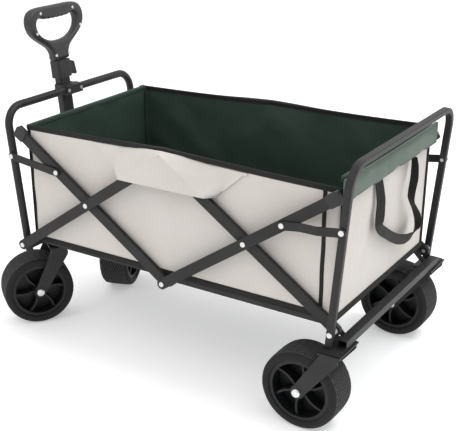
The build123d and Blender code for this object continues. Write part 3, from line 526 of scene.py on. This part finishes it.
def flap_grid(side):
    """Cover over the top hub: a tent with its apex at the binding, creased down to the corners of its free edge."""
    x = np.concatenate([np.linspace(FLAP_LEFT - FLAP_SEWN, FLAP_LEFT, 40), np.linspace(FLAP_LEFT, APEX_X, 40)[1:],
                        np.linspace(APEX_X, FLAP_RIGHT, 42)[1:],
                        np.linspace(FLAP_RIGHT, FLAP_RIGHT + FLAP_SEWN, 40)[1:]])
    beyond = np.maximum(np.maximum(FLAP_LEFT - x, x - FLAP_RIGHT), 0)
    tucked = 5 * MM + 6.5 * MM * smooth_step((np.abs(x) - 0.03) / 0.1)
    top = top_of_side(x + mid_x, side) - tucked
    run = np.where(x < APEX_X, APEX_X - FLAP_LEFT, FLAP_RIGHT - APEX_X)
    down = np.clip(np.abs(x - APEX_X) / run, 0, 1)
    crease = APEX_Z + (FLAP_LOW - APEX_Z) * down
    closing = FLAP_LOW - 0.3 * np.minimum(beyond, FLAP_CLOSES)
    low = np.where(beyond > 0, closing + 0.9 * np.maximum(beyond - FLAP_CLOSES, 0), FLAP_LOW)
    low = np.minimum(low, top - 6 * MM)
    crease = np.clip(crease, low + 0.8 * MM * (down > 0.99), top - 2.5 * MM)
    y_top = FLAP_IN + 10.6 * MM * np.exp(-(x / HUB_REACH) ** 2)
    hollow = np.sin(math.pi * np.clip((x - FLAP_LEFT) / (FLAP_RIGHT - FLAP_LEFT), 0, 1)) ** 0.5
    grid = np.zeros((len(x), 2 * HALF_ROWS - 1, 3))
    for j in range(2 * HALF_ROWS - 1):
        t = j / (HALF_ROWS - 1)
        z = top + (crease - top) * t if t <= 1 else crease + (low - crease) * (t - 1)
        inside = y_top + (FLAP_OUT - y_top) * min(t, 1) ** 0.9 + 2.2 * MM * max(t - 1, 0) * hollow
        rise = np.maximum(z - FLAP_LOW, 0)
        off = np.hypot(beyond, rise) + 1e-9
        radius = FLAP_CLOSES + (top - FLAP_LOW - FLAP_CLOSES) * (rise / off) ** 1.2
        outside = FLAP_IN + (FLAP_OUT - FLAP_IN) * np.clip(1 - off / radius, 0, 1) ** 0.9
        y = np.where(beyond > 0, outside, inside)
        y = np.maximum(y, side_depth(x + mid_x, z, side) + 0.9 * MM)
        grid[:, j] = np.stack([x + mid_x, side * y, z], axis=1)
    return grid


def over_hub(x, ends, middle):
    """A size that grows from ends to ends + middle where the edge passes over the hub."""
    return ends + middle * np.exp(-((x - mid_x) / 0.09) ** 2)


def top_binding(name, x, side):
    """Edge tape of a side wall, thicker over the hub, where the cloth doubles."""
    sides = 12
    centre_y = side * over_hub(x, SIDE_Y - 0.5 * MM, 5.5 * MM)
    thick = over_hub(x, 4.6 * MM, 9 * MM)
    centre = np.stack([x, centre_y, top_of_side(x, side) - BINDING_DROP], axis=1)
    band = strip(name, centre, (0, 0, 1), BINDING_HIGH, 1.0, binding_black, sides)
    for vertex in band.data.vertices:
        row = min(vertex.index // sides, len(x) - 1)
        vertex.co.y = centre_y[row] + (vertex.co.y - centre_y[row]) * thick[row]
    return band


for side, word in ((-1, "left"), (1, "right")):
    grid = side_grid(side)
    panel = cloth(f"side_panel_{word}", grid, (0, side, 0), SHEET, canvas, lining, binding_black)
    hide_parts(f"side_wall_{word}")
    folding(panel)

    grid = flap_grid(side)
    flap = cloth(f"hub_flap_{word}", grid, (0, side, 0), 1.1 * MM, canvas, canvas, canvas)
    folding(flap)

    x = np.linspace(front_x, rear_x, 160)
    band = top_binding(f"top_binding_{word}", x, side)
    folding(band)

    run = line_of(x, side * (SIDE_Y + 0.6 * MM), FLOOR_Z + 3 * MM)
    hem = strip(f"bottom_binding_{word}", run, (0, 0, 1), HEM_HIGH, 4.4 * MM, binding_black)
    folding(hem)

    for end, near_x in (("front", front_x + 5 * MM), ("rear", rear_x - 36 * MM)):
        z = np.linspace(FLOOR_Z, float(top_of_side(np.array([near_x]), side)[0]) - 8 * MM, 40)
        depth = side_depth(np.full(len(z), near_x), z, side) + SHEET / 2 + 0.4 * MM
        run = line_of(near_x, side * depth, z)
        seam = strip(f"corner_tape_{end}_{word}", run, (1, 0, 0), 9 * MM, 1.6 * MM, binding_black)
        folding(seam)

    x = np.linspace(front_x + 8 * MM, rear_x - 8 * MM, 240)
    rows = [line_of(x, side * (over_hub(x, SIDE_Y - 0.5 * MM, 5.5 * MM) + way * over_hub(x, 2.4 * MM, 4.6 * MM)),
                    top_of_side(x, side) - SEWING_DROP) for way in (-1, 1)]
    sewing = stitches(f"top_stitches_{word}", rows)
    folding(sewing)

for end, x_wall, top, bulge, body in (("front", front_x + 1.5 * MM, front_top, -2 * MM, "basket"),
                                      ("rear", rear_x - 2.2 * MM, rear_top, 2.5 * MM, "basket_rear")):
    way = -1 if end == "front" else 1
    grid = end_grid(x_wall - way * 2 * MM, top, bulge)
    panel = cloth(f"{end}_panel", grid, (way, 0, 0), SHEET, canvas, lining, binding_black)
    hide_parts(f"basket_{end}_wall")
    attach(panel, body)
    y = np.linspace(-SIDE_Y, SIDE_Y, 60)
    low = line_of(x_wall + way * 0.8 * MM, y, FLOOR_Z + 3 * MM)
    hem = strip(f"{end}_bottom_binding", low, (0, 0, 1), HEM_HIGH, 4.4 * MM, binding_black)
    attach(hem, body)
    for side, word in ((-1, "left"), (1, "right")):
        z = np.linspace(FLOOR_Z, top - 6 * MM, 40)
        line = line_of(x_wall + way * 1.0 * MM, side * (SIDE_Y - 3.5 * MM), z)
        seam = strip(f"{end}_edge_tape_{word}", line, (0, 1, 0), 9 * MM, 3.0 * MM, binding_black)
        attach(seam, body)

y = np.linspace(-SIDE_Y, SIDE_Y, 90)
for end, x, top, share, body in (("front", front_x + 1.0 * MM, front_top, 1, "basket"),
                                 ("rear", rear_x - 2.0 * MM, rear_top, 0.985, "basket_rear")):
    hem = strip(f"{end}_top_hem", line_of(x, y * share, top - BINDING_DROP), (0, 0, 1), 13 * MM, 9 * MM, lining, 12)
    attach(hem, body)
sew_y = np.linspace(-SIDE_Y + 6 * MM, SIDE_Y - 6 * MM, 90)
front_sewing = stitches("front_top_stitches", [line_of(front_x + 1.0 * MM + way * 2.6 * MM, sew_y,
                                                       front_top - SEWING_DROP) for way in (-1, 1)])
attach(front_sewing, "basket")


# ---------------------------------------------------------------- padded pieces
def puffed(piece, voxel, pressure, cap, frames=16):
    """Swells a closed shape with the cloth solver, holding each point within cap of where it began."""
    remesh = piece.modifiers.new("voxels", "REMESH")
    remesh.mode, remesh.voxel_size = "VOXEL", voxel
    piece = baked(piece)
    start = np.array([v.co for v in piece.data.vertices], float)
    solver = piece.modifiers.new("cloth", "CLOTH")
    solver.settings.use_pressure = True
    solver.settings.uniform_pressure_force = pressure
    solver.settings.effector_weights.gravity = 0.0
    solver.settings.tension_stiffness = 20
    solver.point_cache.frame_start, solver.point_cache.frame_end = 1, frames
    for number in range(1, frames + 1):
        scene.frame_set(number)
    piece = baked(piece)
    scene.frame_set(1)
    now = np.array([v.co for v in piece.data.vertices], float)
    moved = now - start
    far = np.linalg.norm(moved, axis=1, keepdims=True) + 1e-12
    now = start + moved * np.minimum(1, cap / far)
    piece.data.vertices.foreach_set("co", now.astype(np.float32).ravel())
    piece.data.update()
    return piece


def finish_soft(piece, finish, lay_u, lay_v):
    """Gives a remeshed piece its cloth run and finish."""
    piece.data.materials.clear()
    piece.data.materials.append(finish)
    piece.data.polygons.foreach_set("use_smooth", [True] * len(piece.data.polygons))
    layer = piece.data.uv_layers.new(name="cloth")
    for loop in piece.data.loops:
        co = piece.data.vertices[loop.vertex_index].co
        layer.data[loop.index].uv = (co.dot(lay_u), co.dot(lay_v))
    return piece


def turned_out_lining():
    """Lining turned out over the rear edge: a soft band, fuller in the middle, slack at its ends."""
    low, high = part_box("rear_roll")
    columns, turns = 90, 24
    points, faces = [], []
    for i in range(columns):
        s = i / (columns - 1)
        y = low.y + (high.y - low.y) * s
        full = 1 - 0.28 * abs(2 * s - 1) ** 6
        wave = 1.1 * MM * math.sin(2 * math.pi * s * 3.3 + 0.4) + 0.7 * MM * math.sin(2 * math.pi * s * 7.1)
        for k in range(turns):
            a = 2 * math.pi * k / turns
            c, d = math.cos(a), math.sin(a)
            across = math.copysign(abs(c) ** 0.7, c) * (high.x - low.x - 4 * MM) / 2 * full
            tall = math.copysign(abs(d) ** 0.6, d) * (high.z - low.z - 2 * MM) / 2
            points.append(((low.x + high.x) / 2 + across + wave * max(c, 0), y,
                           (low.z + high.z) / 2 + tall - wave * max(-d, 0)))
    for i in range(columns - 1):
        for k in range(turns):
            n = (k + 1) % turns
            faces.append((i * turns + k, (i + 1) * turns + k, (i + 1) * turns + n, i * turns + n))
    faces.append(tuple(range(turns)))
    faces.append(tuple(range((columns - 1) * turns, columns * turns)))
    return make("rear_lining_roll", points, faces, [roll_cloth])


roll = puffed(turned_out_lining(), 4 * MM, 1.5, 4 * MM)
finish_soft(roll, roll_cloth, Vector((0, 1, 0)), Vector((0.4, 0, 1)))
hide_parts("rear_roll")
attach(roll, "basket_rear")
low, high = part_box("rear_roll")
seam_y = np.linspace(low.y + 10 * MM, high.y - 10 * MM, 60)
roll_seam = stitches("roll_stitches", [line_of(high.x - 0.6 * MM, seam_y, low.z + 8 * MM)])
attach(roll_seam, "basket_rear")


def floor_pad(name, node):
    """A stiff board in a lining cover, crowned, with its edges pulled in."""
    low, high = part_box(node)
    middle, half = (low + high) / 2, (high - low) / 2
    n = 66
    points, faces = [], []
    for layer in (1, -1):
        for u in np.linspace(-1, 1, n):
            for v in np.linspace(-1, 1, n):
                edge = (1 - abs(u) ** 14) * (1 - abs(v) ** 14)
                ripple = 0.5 * MM * math.sin(9 * u + 2 * v) * math.sin(6 * v - u) if layer > 0 else 0
                points.append((middle.x + half.x * u, middle.y + half.y * v,
                               middle.z + layer * half.z * edge ** 0.5 + ripple * edge))
    for layer in (0, 1):
        for i in range(n - 1):
            for j in range(n - 1):
                k = layer * n * n + i * n + j
                faces.append((k, k + n, k + n + 1, k + 1))
    pad = make(name, points, faces, [lining])
    turn_out(pad, weld=0.02 * MM)
    finish_soft(pad, lining, Vector((1, 0, 0)), Vector((0, 1, 0)))
    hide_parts(node)
    return pad


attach(floor_pad("floor_pad_front", "floor_panel_front"), "front_rails")
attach(floor_pad("floor_pad_rear", "floor_panel_rear"), "rear_rails")


# ---------------------------------------------------------------- rear carrying loop
def carrying_loop():
    """Webbing that hangs from under the roll, kinks at its elbows and stands a little off the wall."""
    low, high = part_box("rear_loop")
    wall = low.x + 1.2 * MM
    top = high.z + 4 * MM            # its ends are sewn in under the roll
    wide, thick, on_edge = 24 * MM, 1.8 * MM, 11 * MM
    # y, drop from the top, stand-off, and how far the strap is turned on edge, in degrees
    stops = [(-70, 0, 1, -14), (-66, 24, 3, -20), (-66, 48, 6, -26), (-78, 74, 10, -30), (-84, 92, 13, -22),
             (-70, 108, 14, -4), (-38, 128, 14, 6), (0, 150, 12, 6), (40, 170, 11, 2), (78, 183, 12, -6),
             (108, 184, 14, -20), (124, 170, 14, -44), (124, 150, 13, -66), (108, 124, 13, -72), (88, 102, 12, -66),
             (76, 86, 11, -58), (80, 68, 10, -62), (94, 44, 8, -66), (104, 18, 4, -60), (107, 0, 1, -50)]
    data = np.array(stops, float)
    where = np.linspace(0, len(stops) - 1, 170)
    curve = np.stack([np.interp(where, range(len(stops)), data[:, k]) for k in range(4)], axis=1)
    soft = np.array([1, 2, 3, 2, 1]) / 9
    for _ in range(2):
        inner = np.stack([np.convolve(curve[:, k], soft, "valid") for k in range(4)], axis=1)
        curve = np.concatenate([curve[:2], inner, curve[-2:]])
    path = np.stack([wall + curve[:, 2] * MM, curve[:, 0] * MM, top - curve[:, 1] * MM], axis=1)
    ahead = np.gradient(path, axis=0)
    ahead /= np.linalg.norm(ahead, axis=1, keepdims=True)
    flat = np.cross(ahead, np.array([1.0, 0, 0]))
    flat /= np.linalg.norm(flat, axis=1, keepdims=True)
    proud = np.cross(flat, ahead)
    turn = np.radians(curve[:, 3])[:, None]
    across = flat * np.cos(turn) + proud * np.sin(turn)
    path[:, 0] += on_edge * np.abs(np.sin(turn[:, 0]))
    loop = strip("carrying_loop", path, across, wide, thick, webbing_black, 12)
    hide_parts("rear_loop")
    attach(loop, "basket_rear")
    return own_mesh(loop)


carrying_loop()


# ---------------------------------------------------------------- wheels
TYRE_RADIUS, RIM_RADIUS, TYRE_WIDTH = 89 * MM, 69.6 * MM, 78 * MM
RIB_PITCH, RIB_SWING, RIB_WAVES = 7.3 * MM, 2.3 * MM, 32
GROOVE = 1.9 * MM
TREAD_EDGE = 31 * MM                 # no groove is cut past this


def axle_of(hub):
    """Centre and axle direction of a level wheel: the level direction along which its hub spans the tyre's width."""
    low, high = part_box(hub)
    centre = (low + high) / 2
    flat = np.array([v.co[:2] for v in nodes[hub].data.vertices], float) - np.array(centre)[:2]
    _, directions = np.linalg.eigh(flat.T @ flat)
    axis = min(directions.T, key=lambda way: abs(np.ptp(flat @ way) - TYRE_WIDTH))
    return centre, Vector((*axis, 0)).normalized()


def tyre(name, node, hub, body):
    """Tyre with wavy ribs round its tread and a rounded shoulder."""
    centre, axis = axle_of(hub)
    half = TYRE_WIDTH / 2
    side_wall = [(RIM_RADIUS, half - 4 * MM), (RIM_RADIUS + 0.6 * MM, half - 1.4 * MM),
                 (RIM_RADIUS + 3 * MM, half - 0.4 * MM), (RIM_RADIUS + 8 * MM, half - 0.1 * MM),
                 (80.5 * MM, half - 0.8 * MM), (84.3 * MM, half - 2.6 * MM), (86.6 * MM, half - 5.2 * MM)]
    profile = [(r, w, False) for r, w in side_wall]
    tread = [(None, w, True) for w in np.linspace(32.6 * MM, -32.6 * MM, 55)]
    profile = profile + tread + [(r, -w, ribbed) for r, w, ribbed in reversed(profile)]
    around = 256
    # shade is a painted highlight mask, kept as the 'tread' attribute: near 1 on the rib tops, low in the grooves and
    # on the side walls
    points, shade = [], []
    for k in range(around):
        a = 2 * math.pi * k / around
        zigzag = RIB_SWING * math.sin(RIB_WAVES * a)
        for r, w, ribbed in profile:
            if ribbed:
                crown = TYRE_RADIUS - 1.5 * MM * (w / (33 * MM)) ** 4
                rib = math.sin(2 * math.pi * (w + zigzag) / RIB_PITCH)
                cut = max(0.0, min(1.0, (0.25 - rib) / 0.5)) if abs(w) < TREAD_EDGE else 0.0
                r = crown - GROOVE * cut
                shade.append(1.0 - 0.85 * cut)
            else:
                shade.append(0.1)
            points.append((math.cos(a) * r, w, math.sin(a) * r))
    n = len(profile)
    faces = []
    for k in range(around):
        after = (k + 1) % around
        for i in range(n):
            j = (i + 1) % n
            faces.append((k * n + i, k * n + j, after * n + j, after * n + i))
    made = make(name, points, faces, [tyre_black])
    # stores the painted highlight mask that the rubber finish reads
    layer = made.data.attributes.new("tread", "FLOAT", "POINT")
    layer.data.foreach_set("value", shade)
    turn = Vector((0, 1, 0)).rotation_difference(axis).to_matrix().to_4x4()
    made.data.transform(Matrix.Translation(centre) @ turn)
    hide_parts(node)
    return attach(made, body)


for end in ("front", "rear"):
    for word in ("left", "right"):
        tyre(f"{end}_{word}_tyre", f"{end}_tyre_{word}", f"{end}_hub_{word}", f"{end}_wheel_{word}")


# ---------------------------------------------------------------- handle
pivot_low, pivot_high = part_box("handle_pivot_pin")
pivot = (pivot_low + pivot_high) / 2
LEAN = math.atan(0.105)              # of the stowed handle, backwards
to_handle = Matrix.Translation(pivot) @ Matrix.Rotation(-LEAN, 4, "Y")


def in_handle(piece):
    """Moves a piece from the handle's own frame, at its pivot, to its stowed place."""
    piece.data.transform(to_handle)
    return piece


def loop_curve(name, rings, thick, edge):
    """A flat outline in Y and Z with rounded edges, of a given thickness along X."""
    curve = bpy.data.curves.new(name, "CURVE")
    curve.dimensions, curve.fill_mode = "2D", "BOTH"
    curve.extrude, curve.bevel_depth, curve.bevel_resolution, curve.offset = thick / 2 - edge, edge, 5, -edge
    curve.resolution_u = 10
    for ring in rings:
        spline = curve.splines.new("NURBS")
        spline.points.add(len(ring) - 1)
        for point, (y, z) in zip(spline.points, ring):
            point.co = (y * MM, z * MM, 0, 1)
        spline.use_cyclic_u = True
        spline.order_u = 4
    made = bpy.data.objects.new(name, curve)
    scene.collection.objects.link(made)
    made.matrix_world = Matrix(((0, 0, 1, 0), (1, 0, 0, 0), (0, 1, 0, 0), (0, 0, 0, 1)))
    return baked(made)


def mirrored(half):
    """Closes a half outline, given from the middle of its top to the middle of its foot, both sides."""
    return half + [(-y, z) for y, z in reversed(half) if y > 0.01]


def grip():
    """Closed loop handle with finger grooves, in place of its two shells."""
    outer = mirrored([(0, 550.5), (30, 550.5), (62, 551), (88, 546), (100, 528), (101, 506), (92, 486), (72, 470),
                      (50, 456), (36, 446), (29, 434), (27.5, 424), (27.5, 418), (27, 415), (14, 415), (0, 415)])
    right = [(0, 519.5), (9, 518), (16, 520.5), (24, 518), (32, 521), (40, 519), (50, 523), (62, 525.5), (72, 519),
             (75, 505), (69, 489), (55, 477), (36, 468), (16, 464.5), (0, 464)]
    body = loop_curve("grip_body", [outer, mirrored(right)], 27 * MM, 9.5 * MM)
    body.data.polygons.foreach_set("use_smooth", [True] * len(body.data.polygons))
    turn_out(body, weld=0.01 * MM)
    body.data.materials.clear()
    body.data.materials.append(grip_plastic)
    in_handle(body)
    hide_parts("grip_front_shell", "grip_rear_shell")
    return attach(body, "grip")


grip()


def beads(name, rows, start, end, radius, finish):
    """Raised lines moulded down the shaft."""
    points, faces = [], []
    sides = 8
    for x, y in rows:
        on_face = abs(x) > 10 * MM   # beads on the broad faces are flatter
        base = len(points)
        for z, size in ((start, 0.2), (start + 3 * MM, 1), (end - 3 * MM, 1), (end, 0.2)):
            for k in range(sides):
                a = 2 * math.pi * k / sides
                points.append((x + math.cos(a) * radius * size * (0.8 if on_face else 1),
                               y + math.sin(a) * radius * size, z))
        for r in range(3):
            for k in range(sides):
                n = (k + 1) % sides
                faces.append((base + r * sides + k, base + r * sides + n, base + (r + 1) * sides + n,
                              base + (r + 1) * sides + k))
        faces.append(tuple(base + k for k in range(sides)))
        faces.append(tuple(base + 3 * sides + k for k in range(sides)))
    return in_handle(make(name, points, faces, [finish]))


SHAFT_FACE = 10.9 * MM
rows = [(way * SHAFT_FACE, y * MM) for way in (-1, 1) for y in (-11, -4, 4, 11)]
ribs = beads("shaft_ribs", rows, 40 * MM, 366 * MM, 1.5 * MM, shaft_black)
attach(ribs, "handle")


# ---------------------------------------------------------------- finishes of the frame's own pieces
finishes = {
    frame_black: ["front_frame_tube", "front_cross_tube", "rear_frame_tube", "rear_cross_tube", "handle_bracket",
                  "centre_hub_bar", "front_floor_rails", "rear_floor_rails", "rear_fork_left", "rear_fork_right",
                  "caster_fork_left", "caster_fork_right"],
    bar_black: [f"{end}_{layer}_bar_{word}" for end in ("front", "rear") for layer in ("inner", "outer")
                for word in ("left", "right")] + [f"{end}_link_{word}" for end in ("front", "rear")
                                                  for word in ("left", "right")],
    shaft_black: ["handle_lower_shaft", "handle_inner_shaft"],
    boot_plastic: ["front_corner_caps", "rear_corner_caps", "handle_collar", "clamp_lever", "handle_saddle"],
    hub_plastic: ["front_hub_left", "front_hub_right", "rear_hub_left", "rear_hub_right"],
    zinc: ["front_scissor_rivets", "rear_scissor_rivets", "front_link_rivets", "rear_link_rivets",
           "front_frame_rivets", "rear_frame_rivets", "grip_screws", "handle_pivot_pin"],
    nut_chrome: ["rear_axles", "caster_axle_left", "caster_axle_right"],
}
for finish, names in finishes.items():
    for name in names:
        piece = nodes[name]
        for slot in piece.material_slots:
            slot.material = finish
        if not piece.material_slots:
            piece.data.materials.append(finish)


# ---------------------------------------------------------------- floor, light and camera
def studio():
    """Pale floor, white surroundings and three soft lamps."""
    f = Finish("pale_floor")
    speck = f.noise(f.place(), 30.0, 3.0)
    floor_finish = f.surface(Base_Color=f.mix(speck, (0.86, 0.86, 0.86), (0.88, 0.88, 0.88)), Roughness=0.95,
                             Emission_Color=(1, 1, 1, 1), Emission_Strength=0.3)
    corners = [(x, y, 0) for x, y in ((-8, -8), (8, -8), (8, 8), (-8, 8))]
    floor = make("studio_floor", corners, [(0, 1, 2, 3)], [floor_finish])
    world = bpy.data.worlds.new("studio")
    world.use_nodes = True
    sky = world.node_tree.nodes["Background"].inputs
    sky["Color"].default_value, sky["Strength"].default_value = (1, 1, 1, 1), 1.0
    scene.world = world
    for name, place, size, power, colour in (("key", (-1.2, -2.6, 3.0), 2.6, 18, (1, 0.98, 0.95)),
                                             ("fill", (1.5, 0.3, 2.7), 1.2, 34, (0.95, 0.97, 1)),
                                             ("top", (0.4, 1.4, 3.4), 2.6, 14, (1, 1, 1))):
        lamp = bpy.data.lights.new(name, "AREA")
        lamp.shape, lamp.size, lamp.energy, lamp.color = "SQUARE", size, power, colour
        made = bpy.data.objects.new(name, lamp)
        made.location = place
        made.rotation_euler = (Vector((0, 0, 0.3)) - Vector(place)).to_track_quat("-Z", "Y").to_euler()
        scene.collection.objects.link(made)


CAMERA_AZIMUTH, CAMERA_ELEVATION, CAMERA_ROLL = (math.radians(a) for a in (34.2, 22.7, -0.7))
CAMERA_DISTANCE = 2.3176
CAMERA_TARGET = Vector((mid_x - 0.0664, -0.0254, 0.2427))
SENSOR, LENS = 36.0, 74.71           # mm
SHIFT_RIGHT, SHIFT_UP = 0.07505, 0.0523


def camera_view():
    """Camera to the right of the near side, a little above it."""
    level = math.cos(CAMERA_ELEVATION)
    back = Vector((math.sin(CAMERA_AZIMUTH) * level, -math.cos(CAMERA_AZIMUTH) * level, math.sin(CAMERA_ELEVATION)))
    right = Vector((math.cos(CAMERA_AZIMUTH), math.sin(CAMERA_AZIMUTH), 0))
    up = back.cross(right)
    axes = (right * math.cos(CAMERA_ROLL) + up * math.sin(CAMERA_ROLL),
            up * math.cos(CAMERA_ROLL) - right * math.sin(CAMERA_ROLL), back)
    lens = bpy.data.cameras.new("camera")
    lens.sensor_width, lens.lens = SENSOR, LENS
    lens.shift_x, lens.shift_y = SHIFT_RIGHT, SHIFT_UP
    lens.clip_start, lens.clip_end = 0.05, 60
    made = bpy.data.objects.new("camera", lens)
    turned = Matrix(axes).transposed().to_4x4()
    made.matrix_world = Matrix.Translation(CAMERA_TARGET + back * CAMERA_DISTANCE) @ turned
    scene.collection.objects.link(made)
    scene.camera = made


studio()
camera_view()
